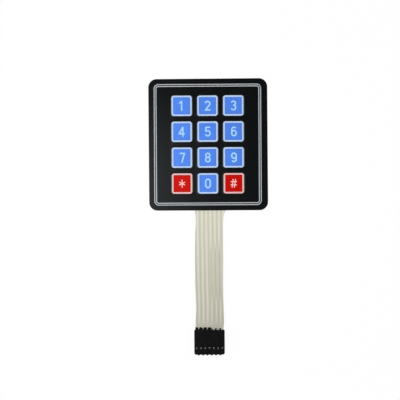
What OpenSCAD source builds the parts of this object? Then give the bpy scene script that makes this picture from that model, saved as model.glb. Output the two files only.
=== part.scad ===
// Membrane keypad with twelve keys, a flat film tail and a seven-way socket.
// It lies flat on its back. The origin is the middle of the pad's back,
// +Z points out of the front and +Y to the top edge. Millimetres.

/* [Pad] */
// Width of the pad
pad_w = 70.5; // [66:0.5:90]
// Height of the pad
pad_h = 78.2; // [76:0.2:100]
// Corner radius of the pad
pad_corner_r = 5; // [1:0.5:8]
// Sideways place of the print and the keys from the pad's middle
print_shift = -0.3; // [-1:0.1:1]

/* [Keys] */
// Width and height of a key, with its pale frame line
key_size = 12.1; // [10:0.1:13]
// Distance between the key columns
key_pitch_x = 15.35; // [14.5:0.05:17]
// Distance between the key rows
key_pitch_y = 15.4; // [14.5:0.1:16]
// Outer corner radius of the frame line
key_corner_r = 1.4; // [0.9:0.1:3]
// Width of the frame line
key_frame_w = 1; // [0.4:0.05:2]
// Corner radius of the coloured face
face_corner_r = 0.45; // [0.2:0.05:2]
// Height that a key area is raised above the front
emboss_h = 0.25; // [0.1:0.05:0.4]
// Flat rim between the frame line and the slope round it
emboss_rim = 0.2; // [0.1:0.05:0.4]

/* [Border] */
// Distance from the pad's sides to the outer line
border_side = 3.35; // [1.5:0.05:4]
// Distance from the pad's top and bottom to the outer line
border_end = 3.05; // [1.5:0.05:4]
// Width of each of the two lines
border_line_w = 0.5; // [0.3:0.05:1]
// Gap between the two lines
border_gap = 0.6; // [0.2:0.05:1.2]
// Corner radius inside the border's inner line
border_corner_r = 1.1; // [0.3:0.1:4]

/* [Layers] */
// Thickness of the front film
overlay_t = 0.2; // [0.15:0.01:0.3]
// Depth of the printed colours
print_t = 0.03; // [0.01:0.01:0.06]
// Thickness of the glue under the front film
overlay_glue_t = 0.06; // [0.03:0.01:0.15]
// Thickness of each circuit film
film_t = 0.1; // [0.07:0.01:0.15]
// Thickness of the spacer between the circuit films
spacer_t = 0.19; // [0.12:0.01:0.3]
// Thickness of the conductive inks
ink_t = 0.02; // [0.01:0.005:0.04]
// Thickness of the glue on the back
rear_glue_t = 0.13; // [0.05:0.01:0.2]
// Thickness of the release liner
liner_t = 0.1; // [0.05:0.01:0.2]

/* [Circuit] */
// Diameter of the contact spots under a key
contact_d = 7; // [4:0.5:8]
// Diameter of the spacer's holes
spacer_hole_d = 9; // [8.5:0.5:11]
// Width of the air channels between the holes
vent_w = 0.8; // [0.4:0.1:1.5]
// Distance of an air channel from the middle of its column
vent_offset = 2.4; // [1.5:0.1:3.5]
// Width of a track on the pad
track_w = 1; // [0.5:0.1:1.2]
// Distance between tracks that run side by side
track_pitch = 1.7; // [1.5:0.1:2]
// Distance from a hole's edge to the middle of the nearest track
track_clear = 1.2; // [0.8:0.1:1.5]
// Width of a track along the tail
tail_track_w = 1.3; // [0.6:0.1:1.4]

/* [Tail] */
// Length of the tail from the pad to the housing
tail_len = 70.1; // [40:0.1:120]
// Width of a finger at the tail's end
finger_w = 1.5; // [1.4:0.05:1.8]
// Length of a finger inside the housing
finger_len = 5.6; // [5:0.1:6.5]
// Distance from the housing to the start of the fingers
slit_len = 0.2; // [0.05:0.05:0.5]
// Distance from the housing to where the other film ends
film_cutback = 1.1; // [0.8:0.1:3]
// Level stretch of tail beside the pad
root_len = 6; // [5.5:0.5:12]
// Level stretch of tail in front of the housing
level_len = 5; // [4:0.5:12]
// Length of the flare where the tail leaves the pad
flare_len = 5; // [2:0.5:5]
// Width of the flare on the row side
row_flare_w = 0.4; // [0.2:0.1:3]
// Width of the flare on the column side
column_flare_w = 1.7; // [0.2:0.1:3]
// Width of a carbon-ink end on its finger
tip_w = 1.4; // [1.3:0.05:1.4]
// Width of a carbon-ink end's round head in front of the housing
tip_head_w = 2.25; // [1.4:0.05:2.3]
// Length of a carbon-ink end in front of the housing
tip_show = 0.8; // [0.5:0.1:1]

/* [Connector] */
// Distance between neighbouring contacts
way_pitch = 2.54; // [2.5:0.01:3]
// Length of the housing
housing_len = 15.95; // [15:0.05:20]
// Thickness of the housing
housing_t = 2.54; // [2.5:0.02:3]
// Radius of the housing's corners at the mating end
housing_corner_r = 1.2; // [0.2:0.1:1.3]
// Radius of the housing's corners at the film end
film_end_r = 0.7; // [0.2:0.1:1.3]
// Thickness of the wall between two cavities
partition_t = 0.6; // [0.4:0.05:0.7]
// Thickness of the housing's side walls
side_wall_t = 0.45; // [0.3:0.05:0.8]
// Thickness of the housing's front and back walls
housing_wall_t = 0.32; // [0.25:0.01:0.36]
// Thickness of the wall at the mating end
end_wall_t = 1.2; // [0.8:0.1:1.6]
// Length of the ledge that carries the films where they go in
ledge_len = 0.8; // [0.6:0.1:1.4]
// Height of the round ribs across the mating end
rib_h = 0.5; // [0.1:0.05:0.6]
// Width of the round ribs across the mating end
rib_w = 1.3; // [0.7:0.05:1.3]
// Width of a pin's square hole
pin_hole_w = 0.9; // [0.8:0.05:1]
// Depth of the funnel round a pin's hole
funnel_depth = 0.15; // [0.05:0.05:0.15]
// Width of a latch window
window_w = 0.9; // [0.8:0.05:1.4]
// Length of a latch window
window_len = 1.4; // [1.3:0.1:2]
// Distance from the mating end to the middle of a latch window
window_pos = 4.15; // [2.8:0.05:6]

/* [Contacts] */
// Thickness of the contact metal
metal_t = 0.2; // [0.15:0.01:0.22]
// Clearance between a contact's box and its cavity
contact_clear = 0.04; // [0.02:0.01:0.08]
// Length of a contact's box
box_len = 6.8; // [6:0.1:7.2]
// Length of the plate that is crimped to a finger
crimp_len = 3.2; // [2.8:0.1:3.6]
// Width of that plate
crimp_w = 1.2; // [1.1:0.05:1.3]
// Distance from a finger's end to that plate
crimp_inset = 0.2; // [0.1:0.05:0.6]
// Length of a crimp tine along the finger
tine_len = 0.7; // [0.5:0.05:0.8]
// Width of a tine's folded end
tine_fold_w = 0.5; // [0.4:0.05:0.55]
// Width of the neck and of the spring leaf
neck_w = 0.9; // [0.6:0.05:1]
// Rise of the spring leaf inside the box
leaf_rise = 0.45; // [0.2:0.05:0.6]
// Width of the latch tab in the window
tab_w = 0.6; // [0.5:0.05:0.8]
// Length of the latch tab in the window
tab_len = 1.1; // [0.8:0.05:1.2]

/* [Hidden] */
$fn = 64;

key_cols = 3;
key_rows = 4;
ways = key_rows + key_cols;

// Cutters run this far past the face that they open
cut_over = 0.2;
// Straight pieces of the tail's curve
tail_steps = 14;
// Straight pieces of a flare's arc
flare_steps = 6;

// Heights of the layers, from the back to the front
z_rear_glue = liner_t;
z_lower = z_rear_glue + rear_glue_t;
z_spacer = z_lower + film_t;
z_upper = z_spacer + spacer_t;
z_overlay_glue = z_upper + film_t;
z_overlay = z_overlay_glue + overlay_glue_t;
z_front = z_overlay + overlay_t;
z_key_top = z_front + emboss_h;

// Heights in the housing, and the rise that brings the films to its middle
z_cavity = housing_wall_t;
cavity_h = housing_t - 2 * housing_wall_t;
cavity_w = way_pitch - partition_t;
film_rise = housing_t / 2 - (z_lower + z_overlay_glue) / 2;
finger_t = film_t + ink_t;

// Places along the tail, from the pad to the mating end
y_pad = -pad_h / 2;
y_root = y_pad - root_len;
y_housing = y_pad - tail_len;
y_level = y_housing + level_len;
y_cut = y_housing + film_cutback;
y_tip = y_housing + tip_show;
y_ledge = y_housing - ledge_len;
y_row_part = y_ledge + slit_len;
y_column_part = y_housing + slit_len;
y_finger = y_housing - finger_len;
y_mate = y_housing - housing_len;
y_floor = y_mate + rib_h;
y_window = y_mate + window_pos;
y_crimp = y_finger + crimp_inset;
y_box = y_mate + end_wall_t + contact_clear;
y_neck = y_box + box_len;

tail_w = (ways - 1) * way_pitch + finger_w;
housing_w = (ways - 1) * way_pitch + cavity_w + 2 * side_wall_t;
box_w = cavity_w - 2 * contact_clear;
box_h = cavity_h - 2 * contact_clear;
z_box = z_cavity + contact_clear;

function key_x(c) = print_shift + (c - (key_cols - 1) / 2) * key_pitch_x;
function key_y(r) = ((key_rows - 1) / 2 - r) * key_pitch_y;
function way_x(w) = (w - (ways - 1) / 2) * way_pitch;
function is_red(c, r) = r == key_rows - 1 && (c == 0 || c == key_cols - 1);

// Rows leave to the left, turn down beside the keys and nest round each other
function row_lane(r) = track_clear + (key_rows - 1 - r) * track_pitch;
function row_down_x(r) = key_x(0) - spacer_hole_d / 2 - row_lane(r);
function row_run_y(r) = key_y(key_rows - 1) - spacer_hole_d / 2 - row_lane(r);

// Columns turn towards the tail below the last key, the outer ones lower down
function goes_right(c) = key_x(c) < way_x(key_rows + c);
function lanes_above(c) = goes_right(c)
    ? len([for (k = [c + 1 : 1 : key_cols - 1]) if (goes_right(k)) k])
    : len([for (k = [0 : 1 : c - 1]) if (!goes_right(k)) k]);
function column_run_y(c) = key_y(key_rows - 1) - spacer_hole_d / 2 - track_clear
    - lanes_above(c) * track_pitch;

// The tail's line in side view: level, a smooth rise, level again in the housing
function tail_part(i) = i / tail_steps;
function smooth(s) = 3 * s ^ 2 - 2 * s ^ 3;
tail_line = concat(
    [[pad_h, 0]],
    [for (i = [0 : tail_steps])
        [y_root + (y_level - y_root) * tail_part(i), film_rise * smooth(tail_part(i))]],
    [[y_mate, film_rise]]);

// Underside of the finger that a contact is crimped to
function finger_z(w) = film_rise + (w < key_rows ? z_lower : z_upper - ink_t);

contact_names = [for (w = [1 : ways]) str("contact_", w)];

// Plan shapes
module rounded_rect(w, h, r) {
    square([w - 2 * r, h], center = true);
    square([w, h - 2 * r], center = true);
    for (sx = [-1, 1], sy = [-1, 1])
        translate([sx * (w / 2 - r), sy * (h / 2 - r)])
            circle(r);
}

module pad_outline() {
    rounded_rect(pad_w, pad_h, pad_corner_r);
}

module border_ring(step, r) {
    w = pad_w - 2 * (border_side + step);
    h = pad_h - 2 * (border_end + step);
    difference() {
        rounded_rect(w, h, r);
        rounded_rect(w - 2 * border_line_w, h - 2 * border_line_w, r - border_line_w);
    }
}

module border_plan() {
    step = border_line_w + border_gap;
    inner_r = border_corner_r + border_line_w;
    translate([print_shift, 0]) {
        border_ring(0, inner_r + step);
        border_ring(step, inner_r);
    }
}

module key_plan() {
    rounded_rect(key_size, key_size, key_corner_r);
}

module face_plan() {
    face_size = key_size - 2 * key_frame_w;
    rounded_rect(face_size, face_size, face_corner_r);
}

// Repeats a shape at the keys of one colour, or at all of them
module at_keys(colour = "all") {
    for (c = [0 : key_cols - 1], r = [0 : key_rows - 1])
        if (colour == "all" || (colour == "red") == is_red(c, r))
            translate([key_x(c), key_y(r)])
                children();
}

// A straight run of track along X or Y, with square ends round its end points
module run(from, to, w = track_w) {
    low = [min(from.x, to.x), min(from.y, to.y)] - [w, w] / 2;
    high = [max(from.x, to.x), max(from.y, to.y)] + [w, w] / 2;
    translate(low)
        square(high - low);
}

// The stretch of a track that follows the tail to the end of its finger
module tail_run(w, y_from) {
    translate([way_x(w) - tail_track_w / 2, y_finger])
        square([tail_track_w, y_from - y_finger]);
}

module row_plan(r) {
    for (c = [0 : key_cols - 1])
        translate([key_x(c), key_y(r)])
            circle(d = contact_d);
    run([row_down_x(r), key_y(r)], [key_x(key_cols - 1), key_y(r)]);
    run([row_down_x(r), key_y(r)], [row_down_x(r), row_run_y(r)]);
    run([row_down_x(r), row_run_y(r)], [way_x(r), row_run_y(r)]);
    tail_run(r, row_run_y(r));
}

module column_plan(c) {
    for (r = [0 : key_rows - 1])
        translate([key_x(c), key_y(r)])
            circle(d = contact_d);
    run([key_x(c), key_y(0)], [key_x(c), column_run_y(c)]);
    run([key_x(c), column_run_y(c)], [way_x(key_rows + c), column_run_y(c)]);
    tail_run(key_rows + c, column_run_y(c));
}

// A carbon-ink end: a run along its finger and a round head on the film from y_part on
module tip_plan(w, y_part) {
    y_round = y_tip - tip_head_w / 2;
    translate([way_x(w) - tip_w / 2, y_finger])
        square([tip_w, y_part - y_finger]);
    intersection() {
        union() {
            translate([way_x(w), y_round])
                circle(d = tip_head_w);
            translate([way_x(w) - tip_head_w / 2, y_finger])
                square([tip_head_w, y_round - y_finger]);
        }
        translate([-tail_w / 2, y_part])
            square([tail_w, y_cut - y_part]);
    }
}

module row_tips() {
    for (r = [0 : key_rows - 1])
        tip_plan(r, y_row_part);
}

module column_tips() {
    for (c = [0 : key_cols - 1])
        tip_plan(key_rows + c, y_column_part);
}

// The four slits that a contact's tines make in a finger
module tine_plan(w) {
    for (side = [-1, 1], end = [0, 1])
        translate([way_x(w) + side * (crimp_w - metal_t) / 2,
                   y_crimp + tine_len / 2 + end * (crimp_len - tine_len)])
            square([metal_t, tine_len], center = true);
}

// Points of a flare's hollow arc, from the tail's edge to the pad
function flare_arc(w) = let (
        arc_r = (flare_len ^ 2 + w ^ 2) / (2 * w),
        arc_angle = asin(flare_len / arc_r))
    [for (i = [0 : flare_steps])
        let (a = arc_angle * i / flare_steps)
            [tail_w / 2 + arc_r * (1 - cos(a)), y_pad - flare_len + arc_r * sin(a)]];

// Where the tail leaves the pad, with a flare on each side
module root_plan() {
    column_arc = flare_arc(column_flare_w);
    row_arc = flare_arc(row_flare_w);
    polygon(concat(
        column_arc,
        [[tail_w / 2 + column_flare_w, 0], [-tail_w / 2 - row_flare_w, 0]],
        [for (i = [flare_steps : -1 : 0]) [-row_arc[i].x, row_arc[i].y]]));
}

// The tail's full width, from inside the pad to where one film ends
module tail_plan() {
    pad_outline();
    root_plan();
    translate([-tail_w / 2, y_cut])
        square([tail_w, -y_cut]);
}

// Outline of a circuit film, with fingers from the first way to the last that start at y_part
module film_outline(first, last, y_part) {
    x_first = max(way_x(first) - way_pitch / 2, -tail_w / 2);
    x_last = min(way_x(last) + way_pitch / 2, tail_w / 2);
    tail_plan();
    translate([x_first, y_part])
        square([x_last - x_first, -y_part]);
    for (w = [first : last])
        translate([way_x(w) - finger_w / 2, y_finger])
            square([finger_w, -y_finger]);
}

module film_plan(first, last, y_part) {
    difference() {
        film_outline(first, last, y_part);
        for (w = [first : last])
            tine_plan(w);
    }
}

// Holes under the keys, and the air channels that join them
module vent_plan() {
    at_keys()
        circle(d = spacer_hole_d);
    for (c = [0 : key_cols - 1])
        translate([key_x(c) + vent_offset, 0])
            square([vent_w, (key_rows - 1) * key_pitch_y], center = true);
    translate([print_shift, key_y(0) + vent_offset])
        square([(key_cols - 1) * key_pitch_x, vent_w], center = true);
}

module spacer_plan() {
    difference() {
        tail_plan();
        vent_plan();
    }
}

// The housing's body, with a round rib on the line of each inner wall
module housing_plan() {
    body_len = y_ledge - y_floor;
    translate([0, y_floor + body_len / 2])
        rounded_rect(housing_w, body_len, housing_corner_r);
    translate([0, y_ledge - body_len / 4])
        rounded_rect(housing_w, body_len / 2, film_end_r);
    for (w = [1 : ways - 1])
        translate([way_x(w) - way_pitch / 2, y_mate + rib_w / 2])
            circle(d = rib_w);
}

module ledge_plan() {
    translate([-tail_w / 2, y_ledge - film_end_r])
        square([tail_w, ledge_len + film_end_r]);
}

// Solids from plans
module slab(z, t) {
    translate([0, 0, z])
        linear_extrude(t)
            children();
}

// A layer that follows the tail's line, cut to the plan given
module draped(z, t) {
    back = [for (p = tail_line) [p.x, p.y + z]];
    front = [for (i = [len(tail_line) - 1 : -1 : 0]) [tail_line[i].x, tail_line[i].y + z + t]];
    intersection() {
        rotate([90, 0, 90])
            linear_extrude(2 * pad_w, center = true)
                polygon(concat(back, front));
        slab(-cut_over, housing_t + 2 * cut_over)
            children();
    }
}

// A strip bent in side view and lying across a contact's middle line
module side_strip(points, w) {
    rotate([90, 0, 90])
        linear_extrude(w, center = true)
            polygon(points);
}

// A raised key area: a flat top of width w, sides at 45 degrees and round corners
module key_mound(w, r, h) {
    for (turn = [0, 90])
        rotate(turn)
            rotate([90, 0, 0])
                linear_extrude(w - 2 * r, center = true)
                    polygon([[-w / 2 - h, 0], [w / 2 + h, 0], [w / 2, h], [-w / 2, h]]);
    for (sx = [-1, 1], sy = [-1, 1])
        translate([sx * (w / 2 - r), sy * (w / 2 - r)])
            cylinder(h = h, r1 = r + h, r2 = r);
}

module key_mounds(z, h) {
    translate([0, 0, z])
        at_keys()
            key_mound(key_size + 2 * emboss_rim, key_corner_r + emboss_rim, h);
}

// Front film
module graphic_overlay() {
    color([0.09, 0.09, 0.1])
        difference() {
            union() {
                slab(z_overlay, overlay_t)
                    pad_outline();
                key_mounds(z_front, emboss_h);
            }
            key_mounds(z_overlay - cut_over, emboss_h + cut_over);
            slab(z_key_top - print_t, print_t + cut_over)
                at_keys()
                    key_plan();
            slab(z_front - print_t, print_t + cut_over)
                border_plan();
        }
}

module border_lines() {
    color([0.68, 0.7, 0.72])
        slab(z_front - print_t, print_t)
            border_plan();
}

module key_frames() {
    color([0.86, 0.9, 0.98])
        slab(z_key_top - print_t, print_t)
            at_keys()
                difference() {
                    key_plan();
                    face_plan();
                }
}

module key_faces(colour) {
    slab(z_key_top - print_t, print_t)
        at_keys(colour)
            face_plan();
}

module blue_key_faces() {
    color([0.32, 0.54, 0.93])
        key_faces("blue");
}

module red_key_faces() {
    color([0.78, 0.12, 0.08])
        key_faces("red");
}

module overlay_adhesive() {
    color([0.85, 0.87, 0.86])
        slab(z_overlay_glue, overlay_glue_t)
            difference() {
                pad_outline();
                at_keys()
                    key_plan();
            }
}

// Circuit layers
module upper_circuit_film() {
    color([0.86, 0.85, 0.78])
        draped(z_upper, film_t)
            film_plan(key_rows, ways - 1, y_column_part);
}

module column_tracks() {
    color([0.72, 0.73, 0.74])
        draped(z_upper - ink_t, ink_t)
            difference() {
                for (c = [0 : key_cols - 1])
                    column_plan(c);
                column_tips();
            }
}

module spacer() {
    color([0.8, 0.8, 0.76])
        difference() {
            draped(z_spacer, spacer_t)
                spacer_plan();
            draped(z_spacer - cut_over, ink_t + cut_over)
                for (r = [0 : key_rows - 1])
                    row_plan(r);
            draped(z_upper - ink_t, ink_t + cut_over)
                for (c = [0 : key_cols - 1])
                    column_plan(c);
        }
}

module row_tracks() {
    color([0.72, 0.73, 0.74])
        draped(z_spacer, ink_t)
            difference() {
                for (r = [0 : key_rows - 1])
                    row_plan(r);
                row_tips();
            }
}

module lower_circuit_film() {
    color([0.84, 0.83, 0.76])
        draped(z_lower, film_t)
            film_plan(0, key_rows - 1, y_row_part);
}

// A layer of carbon ink in the housing's level stretch, pierced by the tines
module tip_slab(z) {
    slab(z + film_rise, ink_t)
        difference() {
            children();
            for (w = [0 : ways - 1])
                tine_plan(w);
        }
}

module carbon_tips() {
    color([0.1, 0.1, 0.1]) {
        tip_slab(z_spacer)
            row_tips();
        tip_slab(z_upper - ink_t)
            column_tips();
    }
}

// Back layers
module rear_adhesive() {
    color([0.88, 0.86, 0.8])
        slab(z_rear_glue, rear_glue_t)
            pad_outline();
}

module release_liner() {
    color([0.92, 0.91, 0.87])
        slab(0, liner_t)
            pad_outline();
}

// Connector
// A square funnel round a pin's hole, as two crossed wedges
module pin_funnel() {
    wide = pin_hole_w / 2 + funnel_depth;
    narrow = pin_hole_w / 2;
    wedge = [[-wide, 0], [wide, 0], [narrow, funnel_depth], [-narrow, funnel_depth]];
    translate([0, y_floor, housing_t / 2])
        intersection() {
            linear_extrude(2 * wide, center = true)
                polygon(wedge);
            rotate([0, 90, 0])
                linear_extrude(2 * wide, center = true)
                    polygon(wedge);
        }
}

// All that is cut out of the housing for one way
module way_cut() {
    translate([-cavity_w / 2, y_mate + end_wall_t, z_cavity])
        cube([cavity_w, housing_len, cavity_h]);
    translate([-pin_hole_w / 2, y_mate - cut_over, (housing_t - pin_hole_w) / 2])
        cube([pin_hole_w, end_wall_t + 2 * cut_over, pin_hole_w]);
    pin_funnel();
    translate([-window_w / 2, y_window - window_len / 2, housing_t / 2])
        cube([window_w, window_len, housing_t]);
}

module connector_housing() {
    color([0.08, 0.08, 0.085])
        difference() {
            union() {
                slab(0, housing_t)
                    housing_plan();
                slab(0, z_lower + film_rise)
                    ledge_plan();
            }
            for (w = [0 : ways - 1])
                translate([way_x(w), 0])
                    way_cut();
        }
}

// Square box that grips a pin, open at both ends
module contact_box() {
    translate([0, y_box, z_box])
        difference() {
            translate([-box_w / 2, 0, 0])
                cube([box_w, box_len, box_h]);
            translate([metal_t - box_w / 2, -cut_over, metal_t])
                cube([box_w - 2 * metal_t, box_len + 2 * cut_over, box_h - 2 * metal_t]);
        }
}

// Leaf that rises from the box's floor and presses on the pin
module contact_leaf() {
    z_floor = z_box + metal_t;
    y_crown = y_box + box_len / 2;
    y_foot = y_neck - metal_t;
    leaf_t = metal_t / 2;
    side_strip([
        [y_box + metal_t, z_floor + leaf_t],
        [y_crown, z_floor + leaf_rise],
        [y_foot, z_floor - leaf_t],
        [y_foot - 2 * metal_t, z_floor - leaf_t],
        [y_crown, z_floor + leaf_rise - leaf_t],
        [y_box + metal_t, z_floor]], neck_w);
}

// Tab on the box's roof that catches in the housing's window
module contact_tab() {
    z_roof = z_box + box_h;
    side_strip([
        [y_window - tab_len / 2, z_roof - metal_t / 2],
        [y_window + tab_len / 2, z_roof - metal_t / 2],
        [y_window + tab_len / 2, housing_t - housing_wall_t / 4],
        [y_window + tab_len / 4, housing_t - housing_wall_t / 4],
        [y_window - tab_len / 2, z_roof]], tab_w);
}

// Neck that climbs from the box's floor to the plate under the finger
module contact_neck(z_finger) {
    side_strip([
        [y_neck - metal_t, z_box],
        [y_neck, z_box],
        [y_crimp, z_finger - metal_t],
        [y_crimp + metal_t, z_finger - metal_t],
        [y_crimp + metal_t, z_finger],
        [y_crimp, z_finger],
        [y_neck, z_box + metal_t],
        [y_neck - metal_t, z_box + metal_t]], neck_w);
}

// Plate under the finger, with tines through it that are folded over its front
module contact_crimp(w, z_finger) {
    tine_h = 2 * metal_t + finger_t;
    translate([way_x(w) - crimp_w / 2, y_crimp, z_finger - metal_t])
        cube([crimp_w, crimp_len, metal_t]);
    slab(z_finger - metal_t, tine_h)
        tine_plan(w);
    for (side = [-1, 1], end = [0, 1])
        translate([way_x(w) + side * (crimp_w - tine_fold_w) / 2,
                   y_crimp + tine_len / 2 + end * (crimp_len - tine_len),
                   z_finger + finger_t + metal_t / 2])
            cube([tine_fold_w, tine_len, metal_t], center = true);
}

module contact(w) {
    z_finger = finger_z(w);
    color([0.78, 0.77, 0.74]) {
        translate([way_x(w), 0]) {
            contact_box();
            contact_leaf();
            contact_tab();
            contact_neck(z_finger);
        }
        contact_crimp(w, z_finger);
    }
}

graphic_overlay();
border_lines();
key_frames();
blue_key_faces();
red_key_faces();
overlay_adhesive();
upper_circuit_film();
column_tracks();
spacer();
row_tracks();
lower_circuit_film();
carbon_tips();
rear_adhesive();
release_liner();
connector_housing();
for (w = [0 : ways - 1])
    contact(w);
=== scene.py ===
"""Looks of a membrane keypad: a printed film pad with a film tail and a socket on its end.

Metres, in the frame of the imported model: the pad lies on its back, +Z is its front, +Y its top.
"""

import math

import bmesh
import bpy
from mathutils import Matrix, Vector


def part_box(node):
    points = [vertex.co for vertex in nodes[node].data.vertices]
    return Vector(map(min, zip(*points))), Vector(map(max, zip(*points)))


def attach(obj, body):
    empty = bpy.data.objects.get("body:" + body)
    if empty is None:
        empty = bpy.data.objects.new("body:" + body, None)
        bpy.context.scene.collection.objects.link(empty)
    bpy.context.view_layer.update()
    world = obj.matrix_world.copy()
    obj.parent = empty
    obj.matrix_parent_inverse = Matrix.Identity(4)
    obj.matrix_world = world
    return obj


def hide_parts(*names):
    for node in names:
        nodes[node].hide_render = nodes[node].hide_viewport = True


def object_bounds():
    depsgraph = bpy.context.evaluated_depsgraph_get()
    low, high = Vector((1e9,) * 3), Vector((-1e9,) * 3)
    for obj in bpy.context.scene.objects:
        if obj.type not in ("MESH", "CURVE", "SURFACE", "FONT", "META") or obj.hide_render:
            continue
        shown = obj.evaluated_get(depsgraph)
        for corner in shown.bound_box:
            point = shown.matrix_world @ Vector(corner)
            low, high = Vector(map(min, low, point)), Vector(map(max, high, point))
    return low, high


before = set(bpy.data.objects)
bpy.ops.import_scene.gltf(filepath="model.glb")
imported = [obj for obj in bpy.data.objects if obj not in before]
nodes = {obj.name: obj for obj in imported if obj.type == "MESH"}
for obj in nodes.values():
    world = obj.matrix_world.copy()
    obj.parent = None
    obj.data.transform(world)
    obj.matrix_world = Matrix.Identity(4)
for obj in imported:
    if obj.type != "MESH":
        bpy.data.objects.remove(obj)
cad_low, cad_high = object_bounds()

MM = 0.001
BODY = "root"

# Camera: looks straight down, with the small turn that the keypad has in the view
CAMERA_PLACE = (-5.09 * MM, -32.91 * MM, 661.25 * MM)
CAMERA_TURN = math.radians(-0.378)
CAMERA_LENS = 100.0
CAMERA_SENSOR = 36.0

# Raised keys and edges of the front film
INK_PROUD = 0.008 * MM
SLOPE_SPREAD = 0.2 * MM
SLOPE_RINGS = 6
EDGE_ROUND = 0.06 * MM
EDGE_RINGS = 3
CORNER_STEPS = 12

# How far the die-cut outline stands out at the two ends of each side: it isn't quite square
CUT_LEFT = {"bottom": 0.0, "top": 0.17 * MM}
CUT_RIGHT = {"bottom": 0.15 * MM, "top": 0.05 * MM}
CUT_TOP = {"left": 0.0, "right": 0.2 * MM}
CUT_BOTTOM = {"left": 0.0, "right": 0.1 * MM}

# Printed signs, drawn in millimetres round a key's middle
SIGN_HALF_H = 2.54
SIGN_HALF_W = 1.36
DIGIT_STROKE = 0.87
MARK_STROKE = 0.56
SIGN_TOP = 0.006 * MM
SIGN_ROOT = 0.012 * MM
SIGN_ROWS = ("123", "456", "789", "*0#")
ARC_STEPS = 14
SAME_POINT = 1e-6

# Softened edges of the housing and the contacts
HOUSING_BEVEL = 0.09 * MM
METAL_BEVEL = 0.03 * MM
BEVEL_STEPS = 2
WELD_GAP = 0.0005 * MM

# How the film tail lies, in millimetres: places along it and how far it stands to the side there
TAIL_LIE = (
    (-39, -0.3), (-54, -0.25), (-66, -0.1), (-80, 0.05), (-97, 0.42), (-106, 0.3), (-109, 0.0),
)
# Places along the tail, and how far its left and right edges stand off that lie
TAIL_TRIM = (
    (-39, 0.85, 0.35), (-42.5, 0.9, 0.75), (-46, 0.97, 0.4), (-54, 0.5, 0.35),
    (-66, 0.15, 0.15), (-80, 0.05, -0.1), (-92, 0.2, -0.37), (-97, 0.25, -0.33),
    (-106, -0.1, 0.05), (-109, 0.0, 0.0),
)
TAIL_HALF_W = 8.37
TRIM_REACH = 2.0
TAIL_CUTS = 2 * MM
FLAT_MAP = "flat"

# Angles: flat faces are joined below the first, edges are softened above the second
FLAT_ANGLE = math.radians(1)
SHARP_ANGLE = math.radians(40)
FILM_CREASE = math.radians(40)
MOULDED_CREASE = math.radians(35)

# Lamps: name, place, size and power; the last gives the front film its sheen on the left
LAMPS = (
    ("lamp_left", (-1.3, -0.2, 0.7), 0.9, 9.7),
    ("lamp_right", (1.3, 0.2, 0.7), 0.9, 9.7),
    ("lamp_sheen", (-0.095, -0.04, 0.22), 0.13, 0.125),
)

# World: bright at the sides and dark overhead, so that the black film mirrors little light
WORLD_SIDE, WORLD_SIDE_TOP = 1.02, 0.55
WORLD_OVERHEAD, WORLD_OVERHEAD_FROM = 0.03, 0.80

# Floor
FLOOR_HALF = 2.0
FLOOR_DROP = 0.02 * MM
FLOOR_WHITE = 0.95
FLOOR_GLOW = 0.95


def srgb(red, green, blue):
    """A display colour of 0 to 255 as linear light."""
    def channel(value):
        value /= 255
        return value / 12.92 if value <= 0.04045 else ((value + 0.055) / 1.055) ** 2.4
    return (channel(red), channel(green), channel(blue), 1.0)


# Colours
FILM_BLACK = srgb(5, 5.3, 6.5)
BORDER_GREY = srgb(186, 191, 195)
FRAME_COOL, FRAME_WARM = srgb(182, 206, 241), srgb(231, 182, 182)
SIGN_COOL, SIGN_WARM = srgb(166, 211, 255), srgb(255, 196, 194)
BLUE, BLUE_RIM = srgb(79, 132, 232), srgb(75, 114, 202)
RED, RED_RIM = srgb(194, 14, 4), srgb(142, 8, 3)
TAIL_TINT = srgb(223, 220, 202)
SILVER = srgb(238, 236, 219)
CARBON_LOW, CARBON_HIGH = srgb(6, 6, 7), srgb(13, 13, 14)
GLUE = srgb(206, 204, 192)
PAPER = srgb(232, 229, 219)
MOULDED_LOW, MOULDED_HIGH = srgb(4, 4, 6), srgb(8, 8, 10)
# Tin painted darker as shade in the windows, and lighter as a glint on the tabs
TIN_IN_SHADE, TIN_GLINT = srgb(128, 128, 132), srgb(214, 216, 222)


# Sizes read from the frame, and below them the few that no box in the frame gives
def key_grid():
    """Key size, face size, pitches and the print's middle, from the boxes of the printed nodes."""
    red_low, red_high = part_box("red_key_faces")
    blue_low, blue_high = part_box("blue_key_faces")
    ring_low, ring_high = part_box("key_frames")
    face = red_high.y - red_low.y
    pitch_x = (red_high.x - red_low.x - face) / 2
    pitch_y = (blue_high.y - blue_low.y - face) / 3
    size = ring_high.x - ring_low.x - 2 * pitch_x
    return size, face, pitch_x, pitch_y, (red_low.x + red_high.x) / 2


KEY_SIZE, FACE_SIZE, PITCH_X, PITCH_Y, PRINT_X = key_grid()
KEY_CENTRES = [[(PRINT_X + (c - 1) * PITCH_X, (1.5 - r) * PITCH_Y) for c in range(3)]
               for r in range(4)]
PAD_LOW, PAD_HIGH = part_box("graphic_overlay")
FRONT_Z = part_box("border_lines")[1].z
KEY_TOP_Z = PAD_HIGH.z
TAB_TOP_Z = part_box("contact_1")[1].z
SOCKET_Y = TAIL_LIE[-1][0] * MM
PAD_RADIUS = 5.0 * MM
KEY_RIM = 0.2 * MM
KEY_RADIUS = 1.4 * MM
WAY_PITCH = 2.54 * MM
TRACK_W = 1.3 * MM


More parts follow.
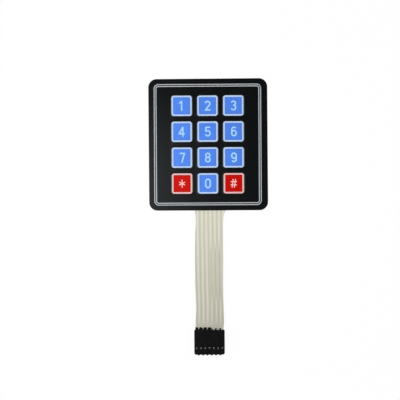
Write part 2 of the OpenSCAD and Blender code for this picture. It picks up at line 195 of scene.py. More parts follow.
# Node helpers
class Shader:
    """A material under construction: one Principled shader and the nodes that feed it."""

    def __init__(self, name, **sockets):
        self.material = bpy.data.materials.new(name)
        self.material.use_nodes = True
        self.tree = self.material.node_tree
        self.main = self.tree.nodes["Principled BSDF"]
        for socket, value in sockets.items():
            self.main.inputs[socket.replace("_", " ")].default_value = value
        self.coords = self.tree.nodes.new("ShaderNodeTexCoord").outputs["Object"]

    def node(self, kind, **settings):
        made = self.tree.nodes.new(kind)
        for key, value in settings.items():
            setattr(made, key, value)
        return made

    def link(self, source, target):
        self.tree.links.new(source, target)

    def noise(self, grain, detail=3.0, stretch=(1, 1, 1)):
        """Noise with features about grain metres across, drawn out by stretch."""
        mapping = self.node("ShaderNodeMapping")
        mapping.inputs["Scale"].default_value = [1 / s for s in stretch]
        self.link(self.coords, mapping.inputs["Vector"])
        made = self.node("ShaderNodeTexNoise")
        made.inputs["Scale"].default_value = 1 / grain
        made.inputs["Detail"].default_value = detail
        self.link(mapping.outputs["Vector"], made.inputs["Vector"])
        return made.outputs["Fac"]

    def ramp(self, factor, *stops):
        """Colours along a factor: each stop is a place and a colour."""
        made = self.node("ShaderNodeValToRGB")
        elements = made.color_ramp.elements
        while len(elements) < len(stops):
            elements.new(0.5)
        for element, (place, colour) in zip(elements, stops):
            element.position = place
            element.color = colour
        self.link(factor, made.inputs["Fac"])
        return made.outputs["Color"]

    def mottle(self, factor, low, high):
        """Two colours that a noise runs between."""
        return self.ramp(factor, (MOTTLE_START, low), (MOTTLE_END, high))

    def uneven(self, factor, colour, low, high):
        """A colour that a noise makes darker and lighter, by two factors."""
        return self.mottle(factor, shade(colour, low), shade(colour, high))

    def math(self, operation, first, second=0.0):
        made = self.node("ShaderNodeMath", operation=operation)
        for socket, value in zip(made.inputs, (first, second)):
            if isinstance(value, (int, float)):
                socket.default_value = value
            else:
                self.link(value, socket)
        return made.outputs["Value"]

    def times(self, first, second):
        return self.math("MULTIPLY", first, second)

    def rest(self, share):
        """What a share leaves of one."""
        return self.math("SUBTRACT", 1.0, share)

    def axes(self, coords=None):
        """The places along X, Y and Z."""
        made = self.node("ShaderNodeSeparateXYZ")
        self.link(coords or self.coords, made.inputs["Vector"])
        return made.outputs

    def spread(self, factor, low, high, start=0.0, end=1.0, eased=False):
        """A factor that goes from start to end brought to the range low to high."""
        made = self.node("ShaderNodeMapRange")
        if eased:
            made.interpolation_type = "SMOOTHSTEP"
        made.inputs["From Min"].default_value = start
        made.inputs["From Max"].default_value = end
        made.inputs["To Min"].default_value = low
        made.inputs["To Max"].default_value = high
        self.link(factor, made.inputs["Value"])
        return made.outputs["Result"]

    def mix(self, factor, first, second):
        made = self.node("ShaderNodeMix", data_type="RGBA")
        self.link(factor, made.inputs["Factor"])
        self.link(first, made.inputs["A"])
        self.link(second, made.inputs["B"])
        return made.outputs["Result"]

    def scaled(self, colour, factor):
        """A colour times a factor."""
        made = self.node("ShaderNodeVectorMath", operation="SCALE")
        self.link(colour, made.inputs[0])
        self.link(factor, made.inputs["Scale"])
        return made.outputs["Vector"]

    def colour(self, source):
        self.link(source, self.main.inputs["Base Color"])

    def roughness(self, source):
        self.link(source, self.main.inputs["Roughness"])

    def bump(self, height, depth, strength=1.0):
        """Relief of depth metres."""
        made = self.node("ShaderNodeBump")
        made.inputs["Strength"].default_value = strength
        made.inputs["Distance"].default_value = depth
        self.link(height, made.inputs["Height"])
        self.link(made.outputs["Normal"], self.main.inputs["Normal"])


def shade(colour, factor):
    """A colour made lighter or darker by a factor."""
    return tuple(min(1.0, part * factor) for part in colour[:3]) + (1.0,)


# Materials
MOTTLE_START, MOTTLE_END = 0.3, 0.7
FILM_GRAIN, FILM_RELIEF = 0.16 * MM, 0.004 * MM
FILM_PATCH, FILM_CLOUDS = 2.5 * MM, 14 * MM
FILM_GLOSS = 0.32
FILM_SHEEN = (0.86, 0.94, 1.0, 1.0)
INK_CLOUDS, INK_DETAIL = 5 * MM, 4.0
FRAME_CLOUDS = 4 * MM
SIGN_UNEVEN = 0.02
FACE_RIM = 0.75 * MM
# Painted light: how much lighter the keys are on the left and darker on the right
BLUE_LIGHT_FALLOFF, RED_LIGHT_FALLOFF = 0.08, 0.1
RED_GLOSS = 0.12
SILVER_FLAKE, SILVER_RELIEF = 0.08 * MM, 0.003 * MM
CARBON_GRAIN, CARBON_RELIEF = 0.1 * MM, 0.004 * MM
GLUE_RIPPLE, GLUE_RELIEF = 1.2 * MM, 0.01 * MM
PAPER_FIBRE, PAPER_RELIEF = 0.35 * MM, 0.006 * MM
PAPER_CLOUDS = 9 * MM
MOULDED_GRAIN, MOULDED_RELIEF = 0.09 * MM, 0.006 * MM
MOULDED_FLOW = 2.2 * MM
TIN_GRAIN, TIN_RELIEF = 0.05 * MM, 0.002 * MM
# How far down from the tabs' tops the painted glint reaches
TAB_GLINT_REACH = 0.25 * MM

# The tail: stripes where tracks show through, and painted shade along it
TAIL_GLOSS = 0.4
TAIL_STREAK, TAIL_PATCH = 0.9 * MM, 3 * MM
TRACK_RELIEF, TRACK_EDGE = 0.02 * MM, 0.2 * MM
TRACK_BLUR = 1.0 * MM
TRACK_SHADE, TRACK_END_SHADE = 0.8, 0.73
# Painted shade: how dark the tail is at the socket end, against its top
TAIL_END_SHADE = 0.84
# Painted shadow lines between the tracks, as creases would cast: half width and depth
CREASE_W, CREASE_SHADE = 0.75 * MM, 0.2
PRESSED_Y, PRESSED_REACH = -76 * MM, 20 * MM
PRESSED_TONE = 0.4
# Painted shade on the column side where the tail turns, from this place towards the socket
TURNED_Y, TURNED_SHADE = -95 * MM, 0.06
# Painted shade near the socket: how far it reaches and how dark it makes the film
SOCKET_REACH, SOCKET_SHADE = 8 * MM, 0.96


def textured_film(shader):
    """Gives a shader the fine matt texture of the front film."""
    shader.bump(shader.noise(FILM_GRAIN), FILM_RELIEF, 0.35)
    shader.roughness(shader.spread(shader.noise(FILM_PATCH), 0.3, 0.35))
    shader.main.inputs["Specular Tint"].default_value = FILM_SHEEN


def film_black():
    shader = Shader("overlay_black", Specular_IOR_Level=FILM_GLOSS)
    shader.colour(shader.uneven(shader.noise(FILM_CLOUDS), FILM_BLACK, 0.75, 1.3))
    textured_film(shader)
    return shader.material


def printed_ink(name, ink, contrast=0.05):
    """Ink seen through the textured film, slightly uneven as screen print is."""
    shader = Shader(name, Specular_IOR_Level=FILM_GLOSS)
    clouds = shader.noise(INK_CLOUDS, INK_DETAIL)
    shader.colour(shader.uneven(clouds, ink, 1 - contrast, 1 + contrast))
    textured_film(shader)
    return shader.material


def face_ink(name, ink, rim, light_falloff, gloss=FILM_GLOSS):
    """A key's colour, deeper where it meets the frame line, and painted darker towards the right
    as light that falls off from the left.
    """
    shader = Shader(name, Specular_IOR_Level=gloss)
    axes = shader.axes()
    across = shader.math("PINGPONG", shader.math("SUBTRACT", axes["X"], PRINT_X), PITCH_X / 2)
    along = shader.math("PINGPONG", shader.math("ADD", axes["Y"], PITCH_Y / 2), PITCH_Y / 2)
    reach = shader.math("MAXIMUM", across, along)
    edge = FACE_SIZE / 2
    rimmed = shader.spread(reach, 0.0, 1.0, edge - FACE_RIM, edge, eased=True)
    clouds = shader.noise(INK_CLOUDS, INK_DETAIL)
    plain = shader.uneven(clouds, ink, 0.96, 1.05)
    deep = shader.uneven(clouds, rim, 0.96, 1.05)
    # Painted light falloff: lighter on the left, darker on the right
    painted_falloff = shader.spread(axes["X"], 1 + light_falloff, 1 - light_falloff, PAD_LOW.x, PAD_HIGH.x)
    shader.colour(shader.scaled(shader.mix(rimmed, plain, deep), painted_falloff))
    textured_film(shader)
    return shader.material


def frame_ink():
    """The pale key frames: a cool white round the blue keys, a warm one round the red ones."""
    shader = Shader("frame_ink", Specular_IOR_Level=FILM_GLOSS)
    axes = shader.axes()
    off_middle = shader.math("ABSOLUTE", shader.math("SUBTRACT", axes["X"], PRINT_X))
    outer = shader.math("GREATER_THAN", off_middle, PITCH_X / 2)
    bottom = shader.math("LESS_THAN", axes["Y"], -PITCH_Y)
    clouds = shader.noise(FRAME_CLOUDS, INK_DETAIL)
    cool = shader.uneven(clouds, FRAME_COOL, 0.96, 1.03)
    warm = shader.uneven(clouds, FRAME_WARM, 0.96, 1.03)
    shader.colour(shader.mix(shader.times(outer, bottom), cool, warm))
    textured_film(shader)
    return shader.material


def tail_level(shader, axes, off_track):
    """How light the tail is from place to place.

    Tracks show as darker stripes. Half way down, the stripes on the column side fade and painted
    shadow lines stand between them, as creases would cast. The film is painted darker towards the
    socket as shade, where no stripes show, and the column side is painted darker where it turns.
    """
    gap = shader.spread(off_track, 0.0, 1.0, (TRACK_W - TRACK_BLUR) / 2,
                        (TRACK_W + TRACK_BLUR) / 2, eased=True)
    column_side = shader.spread(axes["X"], 0.0, 1.0, -WAY_PITCH / 8, WAY_PITCH * 3 / 4, eased=True)
    down = shader.math("ABSOLUTE", shader.math("SUBTRACT", axes["Y"], PRESSED_Y))
    half_way = shader.spread(down, 1.0, 0.0, PRESSED_REACH / 2, PRESSED_REACH, eased=True)
    pressed = shader.times(column_side, half_way)
    socket = shader.spread(axes["Y"], 1.0, 0.0, SOCKET_Y, SOCKET_Y + SOCKET_REACH, eased=True)
    even = shader.math("MAXIMUM", pressed, socket)
    tone = shader.math("ADD", shader.times(gap, shader.rest(even)),
                       shader.times(even, PRESSED_TONE))
    track = shader.spread(axes["Y"], TRACK_END_SHADE, TRACK_SHADE, SOCKET_Y, PAD_LOW.y)
    level = shader.math("ADD", shader.times(track, shader.rest(tone)), tone)

    # Painted shadow lines half way between the tracks
    crease_shadow = shader.spread(off_track, 0.0, CREASE_SHADE, WAY_PITCH / 2 - CREASE_W, WAY_PITCH / 2)
    # Painted shade on the column side where the tail turns
    turned_painted_shade = shader.spread(axes["Y"], TURNED_SHADE, 0.0, TURNED_Y, PRESSED_Y, eased=True)
    # Painted shade: shadow lines, darker towards the socket, near it, and where the tail turns
    painted_shades = (shader.rest(shader.times(crease_shadow, pressed)),
              shader.spread(axes["Y"], TAIL_END_SHADE, 1.0, SOCKET_Y, PAD_LOW.y),
              shader.spread(socket, 1.0, SOCKET_SHADE),
              shader.rest(shader.times(column_side, turned_painted_shade)))
    for part in painted_shades:
        level = shader.times(level, part)
    return level


def milky_film(name):
    """Milky polyester over tracks, which stand out as low ridges."""
    shader = Shader(name, Specular_IOR_Level=TAIL_GLOSS)
    axes = shader.axes(shader.node("ShaderNodeUVMap", uv_map=FLAT_MAP).outputs["UV"])
    off_track = shader.math("PINGPONG", axes["X"], WAY_PITCH / 2)
    streaks = shader.noise(TAIL_STREAK, stretch=(1, 22, 1))
    milky = shader.uneven(streaks, TAIL_TINT, 0.98, 1.02)
    shader.colour(shader.scaled(milky, tail_level(shader, axes, off_track)))
    shader.roughness(shader.spread(shader.noise(TAIL_PATCH), 0.26, 0.38))
    ridge = shader.spread(off_track, 1.0, 0.0, (TRACK_W - TRACK_EDGE) / 2,
                          (TRACK_W + TRACK_EDGE) / 2, eased=True)
    shader.bump(ridge, TRACK_RELIEF)
    return shader.material


def silver_ink():
    shader = Shader("silver_ink")
    flakes = shader.noise(SILVER_FLAKE)
    shader.colour(shader.uneven(flakes, SILVER, 0.9, 1.05))
    shader.roughness(shader.spread(flakes, 0.4, 0.6))
    shader.bump(flakes, SILVER_RELIEF, 0.5)
    return shader.material


def carbon_ink():
    shader = Shader("carbon_ink", Roughness=0.6, Specular_IOR_Level=0.15)
    grain = shader.noise(CARBON_GRAIN)
    shader.colour(shader.mottle(grain, CARBON_LOW, CARBON_HIGH))
    shader.bump(grain, CARBON_RELIEF, 0.6)
    return shader.material


def glue():
    shader = Shader("glue", Roughness=0.35)
    ripple = shader.noise(GLUE_RIPPLE)
    shader.colour(shader.uneven(ripple, GLUE, 0.9, 1.04))
    shader.bump(ripple, GLUE_RELIEF, 0.4)
    return shader.material


def liner_paper():
    """Smooth coated paper with faint fibres."""
    shader = Shader("liner_paper")
    fibres = shader.noise(PAPER_FIBRE, 5.0, stretch=(3, 1, 1))
    clouds = shader.noise(PAPER_CLOUDS)
    plain = shader.uneven(clouds, PAPER, 0.95, 1.02)
    flecked = shader.ramp(fibres, (0.35, shade(PAPER, 0.88)), (0.6, PAPER))
    blend = shader.node("ShaderNodeMix", data_type="RGBA", blend_type="MULTIPLY")
    blend.inputs["Factor"].default_value = 0.35
    shader.link(plain, blend.inputs["A"])
    shader.link(flecked, blend.inputs["B"])
    shader.colour(blend.outputs["Result"])
    shader.roughness(shader.spread(clouds, 0.48, 0.62))
    shader.bump(fibres, PAPER_RELIEF, 0.5)
    return shader.material


def moulded_black():
    """Glass-filled black plastic with a fine spark-eroded skin."""
    shader = Shader("moulded_black", Specular_IOR_Level=0.2)
    grain = shader.noise(MOULDED_GRAIN, 4.0)
    flow = shader.noise(MOULDED_FLOW, stretch=(1, 3, 1))
    shader.colour(shader.mottle(flow, MOULDED_LOW, MOULDED_HIGH))
    shader.roughness(shader.spread(flow, 0.34, 0.5))
    shader.bump(grain, MOULDED_RELIEF, 0.5)
    return shader.material


def tinned_metal():
    """Tin plate, painted darker as shade below the latch tabs that stand up in the housing's
    windows, and lighter on the tabs' tops as a painted glint.
    """
    shader = Shader("tinned_metal", Metallic=1.0)
    rolled = shader.noise(TIN_GRAIN, stretch=(1, 12, 1))
    plain = shader.uneven(rolled, TIN_IN_SHADE, 0.85, 1.05)
    glinting = shader.uneven(rolled, TIN_GLINT, 0.9, 1.05)
    # Painted glint on the tabs' tops, painted shade below them
    height = shader.spread(shader.axes()["Z"], 0.0, 1.0, TAB_TOP_Z - TAB_GLINT_REACH, TAB_TOP_Z, eased=True)
    shader.colour(shader.mix(height, plain, glinting))
    shader.roughness(shader.spread(rolled, 0.28, 0.45))
    shader.bump(rolled, TIN_RELIEF, 0.5)
    return shader.material


# Meshes
def new_piece(name, mesh_edit, material):
    """An object from an edit mesh, riding on the part."""
    bmesh.ops.recalc_face_normals(mesh_edit, faces=mesh_edit.faces)
    mesh = bpy.data.meshes.new(name)
    mesh_edit.to_mesh(mesh)
    mesh_edit.free()
    piece = bpy.data.objects.new(name, mesh)
    bpy.context.scene.collection.objects.link(piece)
    mesh.materials.append(material)
    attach(piece, BODY)
    return piece


def smooth(piece, angle):
    """Smooth shading that keeps flat faces flat, and creases sharper than an angle."""
    piece.data.shade_smooth()
    piece.data.set_sharp_from_angle(angle=angle)
    flat_faces = piece.modifiers.new("flat_faces", "WEIGHTED_NORMAL")
    flat_faces.keep_sharp = True


def rounded_loop(half_w, half_h, radius, centre=(0, 0)):
    """Points of a rounded rectangle, anticlockwise."""
    points = []
    for corner, (sx, sy) in enumerate(((1, 1), (-1, 1), (-1, -1), (1, -1))):
        for step in range(CORNER_STEPS + 1):
            angle = math.pi / 2 * (corner + step / CORNER_STEPS)
            points.append((centre[0] + sx * (half_w - radius) + radius * math.cos(angle),
                           centre[1] + sy * (half_h - radius) + radius * math.sin(angle)))
    return points


def add_loop(mesh_edit, points, z):
    return [mesh_edit.verts.new((x, y, z)) for x, y in points]


def loop_edges(mesh_edit, loop):
    """The edges round a loop of points, made where they are missing."""
    pairs = zip(loop, loop[1:] + loop[:1])
    return [mesh_edit.edges.get(pair) or mesh_edit.edges.new(pair) for pair in pairs]


def join_loops(mesh_edit, first, second):
    """A band of quads between two loops with as many points each."""
    count = len(first)
    for i in range(count):
        j = (i + 1) % count
        mesh_edit.faces.new((first[i], first[j], second[j], second[i]))


def ease(share):
    return share * share * (3 - 2 * share)


def die_cut(points):
    """An outline of the pad, as slightly out of square as it is cut."""
    cut = []
    for x, y in points:
        across, up = x / PAD_HIGH.x, y / PAD_HIGH.y
        side, end = CUT_RIGHT if x > 0 else CUT_LEFT, CUT_TOP if y > 0 else CUT_BOTTOM
        out_x = side["bottom"] + (side["top"] - side["bottom"]) * (1 + up) / 2
        out_y = end["left"] + (end["right"] - end["left"]) * (1 + across) / 2
        cut.append((x + out_x * across, y + out_y * up))
    return cut


def formed_overlay():
    """The front film as it is formed: soft edges and keys that rise from it without a crease."""
    mesh_edit = bmesh.new()
    half_w, half_h = PAD_HIGH.x, PAD_HIGH.y
    front = FRONT_Z - INK_PROUD
    rise = KEY_TOP_Z - FRONT_Z

    outline = rounded_loop(half_w, half_h, PAD_RADIUS)
    loops = [add_loop(mesh_edit, die_cut(outline), PAD_LOW.z)]
    for ring in range(EDGE_RINGS + 1):
        angle = math.pi / 2 * ring / EDGE_RINGS
        inset = EDGE_ROUND * (1 - math.cos(angle))
        z = front - EDGE_ROUND * (1 - math.sin(angle))
        points = rounded_loop(half_w - inset, half_h - inset, PAD_RADIUS - inset)
        loops.append(add_loop(mesh_edit, die_cut(points), z))
    for first, second in zip(loops, loops[1:]):
        join_loops(mesh_edit, first, second)
    mesh_edit.faces.new(loops[0][::-1])
    flat_edges = loop_edges(mesh_edit, loops[-1])

    foot = KEY_SIZE / 2 + KEY_RIM + rise + SLOPE_SPREAD
    slope = rise + 2 * SLOPE_SPREAD
    for centre in sum(KEY_CENTRES, []):
        rings = []
        for ring in range(SLOPE_RINGS + 1):
            share = ring / SLOPE_RINGS
            half = foot - slope * share
            radius = KEY_RADIUS + half - KEY_SIZE / 2
            points = rounded_loop(half, half, radius, centre)
            rings.append(add_loop(mesh_edit, points, front + rise * ease(share)))
        flat_edges += loop_edges(mesh_edit, rings[0])
        for first, second in zip(rings, rings[1:]):
            join_loops(mesh_edit, first, second)
        mesh_edit.faces.new(rings[-1])
    bmesh.ops.triangle_fill(mesh_edit, use_beauty=True, use_dissolve=False, edges=flat_edges)

    piece = new_piece("formed_overlay", mesh_edit, film_black())
    smooth(piece, FILM_CREASE)
    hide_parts("graphic_overlay")


def along_tail(y, table):
    """The values of a table at a place along the tail, eased from one entry to the next."""
    for (start, *before), (end, *after) in zip(table, table[1:]):
        if end <= y <= start:
            share = ease((start - y) / (start - end))
            return [low + (high - low) * share for low, high in zip(before, after)]
    return [0.0] * (len(table[0]) - 1)


def lying_tail(node_name, material):
    """Stands for a layer that runs down the tail, with the slight wave in which the tail lies."""
    mesh_edit = bmesh.new()
    mesh_edit.from_mesh(nodes[node_name].data)
    bmesh.ops.remove_doubles(mesh_edit, verts=mesh_edit.verts, dist=WELD_GAP)
    start, end = TAIL_LIE[0][0] * MM, TAIL_LIE[-1][0] * MM
    cuts = round((start - end) / TAIL_CUTS)
    for step in range(cuts + 1):
        place = (0, start + (end - start) * step / cuts, 0)
        geometry = mesh_edit.verts[:] + mesh_edit.edges[:] + mesh_edit.faces[:]
        bmesh.ops.bisect_plane(mesh_edit, geom=geometry, plane_co=place, plane_no=(0, 1, 0))
    for vert in mesh_edit.verts:
        left, right = along_tail(vert.co.y / MM, TAIL_TRIM)
        x = vert.co.x / MM
        to_left = max(0.0, 1 - (x + TAIL_HALF_W) / TRIM_REACH)
        to_right = max(0.0, 1 - (TAIL_HALF_W - x) / TRIM_REACH)
        vert.co.x += (left * min(1.0, to_left) + right * min(1.0, to_right)) * MM
    flat = mesh_edit.loops.layers.uv.new(FLAT_MAP)
    for face in mesh_edit.faces:
        for loop in face.loops:
            loop[flat].uv = loop.vert.co.xy
    for vert in mesh_edit.verts:
        vert.co.x += along_tail(vert.co.y / MM, TAIL_LIE)[0] * MM
    piece = new_piece("lying_" + node_name, mesh_edit, material)
    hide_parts(node_name)


def softened_copy(node_name, width, material):
    """Stands for a CAD node with the same form and slightly rounded edges."""
    mesh_edit = bmesh.new()
    mesh_edit.from_mesh(nodes[node_name].data)
    bmesh.ops.remove_doubles(mesh_edit, verts=mesh_edit.verts, dist=WELD_GAP)
    bmesh.ops.dissolve_limit(mesh_edit, angle_limit=FLAT_ANGLE,
                             verts=mesh_edit.verts, edges=mesh_edit.edges)
    sharp = [e for e in mesh_edit.edges
             if len(e.link_faces) == 2 and e.calc_face_angle_signed(0) > SHARP_ANGLE]
    bmesh.ops.bevel(mesh_edit, geom=sharp, offset=width, offset_type="OFFSET", segments=BEVEL_STEPS,
                    profile=0.5, affect="EDGES", clamp_overlap=True)
    piece = new_piece("soft_" + node_name, mesh_edit, material)
    smooth(piece, MOULDED_CREASE)
    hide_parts(node_name)


# Printed signs
def arc(centre_x, centre_y, radius_x, radius_y, start, end):
    """Points of an elliptic arc between two angles in degrees."""
    points = []
    for step in range(ARC_STEPS + 1):
        angle = math.radians(start + (end - start) * step / ARC_STEPS)
        points.append((centre_x + radius_x * math.cos(angle),
                       centre_y + radius_y * math.sin(angle)))
    return points


def oval(centre_y, radius_x, radius_y):
    """A closed oval round the key's upright middle line."""
    return arc(0, centre_y, radius_x, radius_y, 90, 450)


def bar(angle, half_length):
    """A straight stroke through the key's middle."""
    x, y = half_length * math.cos(math.radians(angle)), half_length * math.sin(math.radians(angle))
    return [(x, y), (-x, -y)]


def shifted(strokes, distance):
    """Strokes moved to the right."""
    return [[(x + distance, y) for x, y in stroke] for stroke in strokes]


def sign_strokes():
    """The strokes of each sign, as lines of points; a line that ends where it starts is closed."""
    h, w = SIGN_HALF_H, SIGN_HALF_W
    cap = h + DIGIT_STROKE / 2
    bowl = 1.55
    waist = 0.1
    cross = 1.3 - h
    six = [arc(0, h - 1.45, w - 0.1, 1.45, 30, 180) + [(-w, bowl - h)], oval(bowl - h, w, bowl)]
    nine = [[(-x, -y) for x, y in stroke] for stroke in six]
    return {
        "0": [arc(0, h - 1.7, w, 1.7, 0, 180) + arc(0, 1.7 - h, w, 1.7, 180, 360) + [(w, h - 1.7)]],
        "1": [[(0, cap), (0, -cap)], [(-1.35, h - 1.05), (0, h + 0.05)]],
        "2": [arc(0.1, h - 1.35, w, 1.35, 170, -38) + [(-w + 0.15, -h)],
              [(-w - 0.25, -h), (w + 0.4, -h)]],
        "3": [arc(0.05, (h + waist) / 2, w - 0.12, (h - waist) / 2, 160, -100),
              arc(0.05, (waist - h) / 2, w, (h + waist) / 2, 100, -160)],
        "4": [[(0.65, cap), (0.65, -cap)], [(0.55, h), (-w - 0.3, cross)],
              [(-w - 0.5, cross), (w + 0.45, cross)]],
        "5": [[(w + 0.2, h), (-w + 0.08, h)], [(-w + 0.38, cap), (-w + 0.22, 0.05)],
              arc(0.05, bowl - h, w + 0.05, bowl, 145, -155)],
        "6": shifted(six, 0.3),
        "7": [[(-w, h), (w + 0.5, h)], [(w + 0.2, h), (-0.1, -cap)]],
        "8": [oval((h + waist) / 2, w - 0.15, (h - waist) / 2),
              oval((waist - h) / 2, w, (h + waist) / 2)],
        "9": shifted(nine, 0.2),
        "*": [bar(90, 2.35), bar(27, 1.95), bar(153, 1.95)],
        "#": [[(x - 0.35, -h), (x + 0.35, h)] for x in (-0.7, 0.7)]
             + [[(-1.8, y), (1.8, y)] for y in (-0.95, 0.95)],
    }


def stroke_sides(points, closed, stroke_w):
    """The two edges of a stroke of even width along a line of points."""
    count = len(points)
    left, right = [], []
    for i, point in enumerate(points):
        here = Vector(point)
        before = Vector(points[i - 1]) if closed or i else None
        after = Vector(points[(i + 1) % count]) if closed or i < count - 1 else None
        into = (here - before).normalized() if before else (after - here).normalized()
        out = (after - here).normalized() if after else into
        middle = (into + out).normalized()
        across = Vector((-middle.y, middle.x)) * (stroke_w / 2 / middle.dot(out))
        left.append(here + across)
        right.append(here - across)
    return left, right


def stroke_solid(points, stroke_w):
    """A stroke as a solid one unit high, in a plain object."""
    closed = math.dist(points[0], points[-1]) < SAME_POINT
    if closed:
        points = points[:-1]
    left, right = stroke_sides(points, closed, stroke_w)
    mesh_edit = bmesh.new()
    rails = [[mesh_edit.verts.new((p.x, p.y, z)) for p in side]
             for side, z in ((left, 0), (right, 0), (right, 1), (left, 1))]
    spans = len(points) if closed else len(points) - 1
    for i in range(spans):
        j = (i + 1) % len(points)
        for first, second in zip(rails, rails[1:] + rails[:1]):
            mesh_edit.faces.new((first[i], first[j], second[j], second[i]))
    if not closed:
        mesh_edit.faces.new([rail[0] for rail in rails])
        mesh_edit.faces.new([rail[-1] for rail in rails][::-1])
    bmesh.ops.recalc_face_normals(mesh_edit, faces=mesh_edit.faces)
    mesh = bpy.data.meshes.new("stroke")
    mesh_edit.to_mesh(mesh)
    mesh_edit.free()
    solid = bpy.data.objects.new("stroke", mesh)
    bpy.context.scene.collection.objects.link(solid)
    return solid


def joined(solids):
    """One mesh from solids that overlap."""
    base, *others = solids
    for other in others:
        join = base.modifiers.new("join", "BOOLEAN")
        join.operation = "UNION"
        join.object = other
    depsgraph = bpy.context.evaluated_depsgraph_get()
    mesh = bpy.data.meshes.new_from_object(base.evaluated_get(depsgraph))
    for solid in solids:
        bpy.data.meshes.remove(solid.data)
    return mesh


def key_signs():
    """The signs on the blue keys and those on the red keys, as two printed pieces."""
    strokes = sign_strokes()
    inks = {"blue": printed_ink("sign_ink_cool", SIGN_COOL, SIGN_UNEVEN),
            "red": printed_ink("sign_ink_warm", SIGN_WARM, SIGN_UNEVEN)}
    low, high = KEY_TOP_Z - SIGN_ROOT, KEY_TOP_Z + SIGN_TOP
    for colour, ink in inks.items():
        mesh_edit = bmesh.new()
        for row, signs in enumerate(SIGN_ROWS):
            for column, sign in enumerate(signs):
                if (sign in "*#") != (colour == "red"):
                    continue
                stroke_w = DIGIT_STROKE if sign.isdigit() else MARK_STROKE
                mesh = joined([stroke_solid(points, stroke_w) for points in strokes[sign]])
                x, y = KEY_CENTRES[row][column]
                mesh.transform(Matrix.Translation((x, y, low))
                               @ Matrix.Diagonal((MM, MM, high - low, 1)))
                mesh_edit.from_mesh(mesh)
                bpy.data.meshes.remove(mesh)
        new_piece(f"signs_on_{colour}_keys", mesh_edit, ink)


def dress(material, *names):
    """Gives CAD nodes a material."""
    for name in names:
        mesh = nodes[name].data
        mesh.materials.clear()
        mesh.materials.append(material)


def dress_part():
    """Gives every node and piece its look, from the front to the back and the socket."""
    formed_overlay()
    dress(printed_ink("border_ink", BORDER_GREY), "border_lines")
    dress(frame_ink(), "key_frames")
    dress(face_ink("blue_ink", BLUE, BLUE_RIM, BLUE_LIGHT_FALLOFF), "blue_key_faces")
    dress(face_ink("red_ink", RED, RED_RIM, RED_LIGHT_FALLOFF, RED_GLOSS), "red_key_faces")
    key_signs()
    upper, lower = milky_film("upper_film"), milky_film("lower_film")
    silver = silver_ink()
    lying_tail("upper_circuit_film", upper)
    lying_tail("spacer", upper)
    lying_tail("lower_circuit_film", lower)
    lying_tail("row_tracks", silver)
    lying_tail("column_tracks", silver)
    dress(carbon_ink(), "carbon_tips")
    dress(glue(), "overlay_adhesive", "rear_adhesive")
    dress(liner_paper(), "release_liner")
    softened_copy("connector_housing", HOUSING_BEVEL, moulded_black())
    metal = tinned_metal()
    for name in sorted(nodes):
        if name.startswith("contact_"):
            softened_copy(name, METAL_BEVEL, metal)


# Stage
def make_camera():
    data = bpy.data.cameras.new("camera")
    data.lens = CAMERA_LENS
    data.sensor_width = CAMERA_SENSOR
    camera = bpy.data.objects.new("camera", data)
    camera.location = CAMERA_PLACE
    camera.rotation_euler = (0, 0, CAMERA_TURN)
    bpy.context.scene.collection.objects.link(camera)
    bpy.context.scene.camera = camera


def add_softbox(name, place, size, power):
    """A square soft lamp that faces the middle of the part."""
    data = bpy.data.lights.new(name, "AREA")
    data.shape = "SQUARE"
    data.size = size
    data.energy = power
    lamp = bpy.data.objects.new(name, data)
    lamp.location = place
    aim = (cad_low + cad_high) / 2 - lamp.location
    lamp.rotation_euler = aim.to_track_quat("-Z", "Y").to_euler()
    bpy.context.scene.collection.objects.link(lamp)


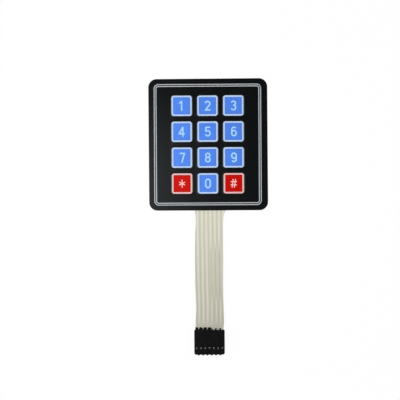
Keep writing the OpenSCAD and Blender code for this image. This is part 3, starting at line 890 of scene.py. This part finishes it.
def light_scene():
    """Softboxes at the sides, and a world that is bright round the part and dark overhead."""
    for lamp in LAMPS:
        add_softbox(*lamp)
    world = bpy.data.worlds.new("world")
    bpy.context.scene.world = world
    world.use_nodes = True
    tree = world.node_tree
    coords = tree.nodes.new("ShaderNodeTexCoord")
    axes = tree.nodes.new("ShaderNodeSeparateXYZ")
    ramp = tree.nodes.new("ShaderNodeValToRGB")
    tree.links.new(coords.outputs["Generated"], axes.inputs["Vector"])
    tree.links.new(axes.outputs["Z"], ramp.inputs["Fac"])
    side, overhead = ramp.color_ramp.elements
    side.position, side.color = WORLD_SIDE_TOP, (WORLD_SIDE,) * 3 + (1,)
    overhead.position, overhead.color = WORLD_OVERHEAD_FROM, (WORLD_OVERHEAD,) * 3 + (1,)
    tree.links.new(ramp.outputs["Color"], tree.nodes["Background"].inputs["Color"])


def make_floor():
    """A white floor: its own light makes it white in the view, and it keeps a soft shadow."""
    mesh_edit = bmesh.new()
    corners = ((-1, -1), (1, -1), (1, 1), (-1, 1))
    z = cad_low.z - FLOOR_DROP
    mesh_edit.faces.new([mesh_edit.verts.new((x * FLOOR_HALF, y * FLOOR_HALF, z))
                         for x, y in corners])
    mesh = bpy.data.meshes.new("floor")
    mesh_edit.to_mesh(mesh)
    mesh_edit.free()
    floor = bpy.data.objects.new("floor", mesh)
    bpy.context.scene.collection.objects.link(floor)
    material = bpy.data.materials.new("floor")
    material.use_nodes = True
    mesh.materials.append(material)
    tree = material.node_tree
    tree.nodes.clear()
    output = tree.nodes.new("ShaderNodeOutputMaterial")
    paper = tree.nodes.new("ShaderNodeBsdfDiffuse")
    paper.inputs["Color"].default_value = (FLOOR_WHITE,) * 3 + (1,)
    glow = tree.nodes.new("ShaderNodeEmission")
    path = tree.nodes.new("ShaderNodeLightPath")
    seen = path.outputs["Is Camera Ray"]
    for ray in ("Is Glossy Ray", "Is Transmission Ray"):
        either = tree.nodes.new("ShaderNodeMath")
        either.operation = "MAXIMUM"
        tree.links.new(seen, either.inputs[0])
        tree.links.new(path.outputs[ray], either.inputs[1])
        seen = either.outputs["Value"]
    share = tree.nodes.new("ShaderNodeMath")
    share.operation = "MULTIPLY"
    share.inputs[1].default_value = FLOOR_GLOW
    tree.links.new(seen, share.inputs[0])
    mix = tree.nodes.new("ShaderNodeMixShader")
    tree.links.new(share.outputs["Value"], mix.inputs["Fac"])
    tree.links.new(paper.outputs["BSDF"], mix.inputs[1])
    tree.links.new(glow.outputs["Emission"], mix.inputs[2])
    tree.links.new(mix.outputs["Shader"], output.inputs["Surface"])


bpy.context.scene.view_settings.view_transform = "Standard"
make_camera()
dress_part()
light_scene()
make_floor()
